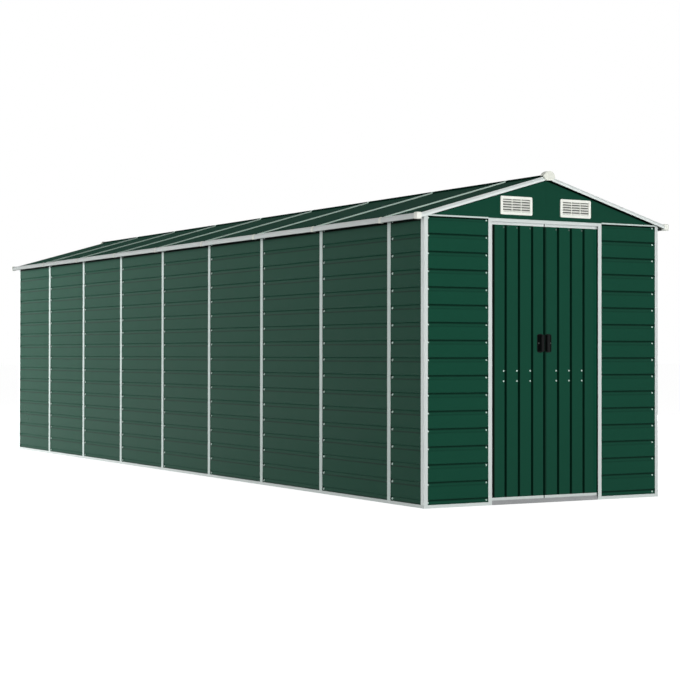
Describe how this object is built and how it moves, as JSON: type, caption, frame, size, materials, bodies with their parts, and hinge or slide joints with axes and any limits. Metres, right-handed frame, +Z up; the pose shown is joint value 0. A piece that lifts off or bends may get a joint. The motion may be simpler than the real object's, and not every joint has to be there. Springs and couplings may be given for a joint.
{
  "type": "metal storage shed",
  "caption": "Long painted steel storage shed with lapped wall panels, a pitched seamed roof, gable vents and a pair of sliding doors in one end wall.",
  "frame": {"origin": "on the ground, in the middle of the shed's outer box", "axes": "+Z up, +Y along the length from the door end to the back, +X to the right seen from the door end"},
  "size_m": [1.916, 7.274, 2.0329],
  "materials": {
    "wall_paint": "dark green satin paint",
    "roof_paint": "dark green satin paint",
    "trim": "off-white satin paint",
    "galvanised": "bare galvanised steel",
    "cream_plastic": "moulded cream plastic",
    "black_plastic": "moulded black plastic"
  },
  "bodies": {
    "shed": {"side_base_rails": "trim", "back_base_rail": "trim", "front_base_rails": "trim", "corner_posts": "trim", "left_wall_posts": "trim", "right_wall_posts": "trim", "back_wall_post": "trim", "left_wall_panels": "wall_paint", "right_wall_panels": "wall_paint", "back_wall_panels": "wall_paint", "front_left_panel": "wall_paint", "front_right_panel": "wall_paint", "side_top_rails": "trim", "gable_rails": "trim", "door_jambs": "trim", "door_header": "trim", "door_sill": "galvanised", "top_door_track": "galvanised", "bottom_door_track": "galvanised", "front_gable": "wall_paint", "back_gable": "wall_paint", "front_vents": "cream_plastic", "back_vents": "cream_plastic", "ridge_beam": "galvanised", "rafters": "galvanised", "left_roof_panels": "roof_paint", "right_roof_panels": "roof_paint", "roof_strips": "trim", "ridge_cap": "roof_paint", "eave_trims": "trim", "front_rakes": "trim", "back_rakes": "trim", "eave_joiners": "cream_plastic", "eave_corner_caps": "cream_plastic", "ridge_end_caps": "cream_plastic"},
    "left_door": {"left_door": "wall_paint", "left_door_frame": "trim", "left_door_sliders": "black_plastic", "left_door_handle": "black_plastic"},
    "right_door": {"right_door": "wall_paint", "right_door_frame": "trim", "right_door_sliders": "black_plastic", "right_door_handle": "black_plastic"}
  },
  "joints": [
    {"name": "left_door_slide", "type": "slide", "parent": "shed", "child": "left_door", "axis": [-1, 0, 0], "range_m": [0, 0.34]},
    {"name": "right_door_slide", "type": "slide", "parent": "shed", "child": "right_door", "axis": [1, 0, 0], "range_m": [0, 0.34]}
  ]
}
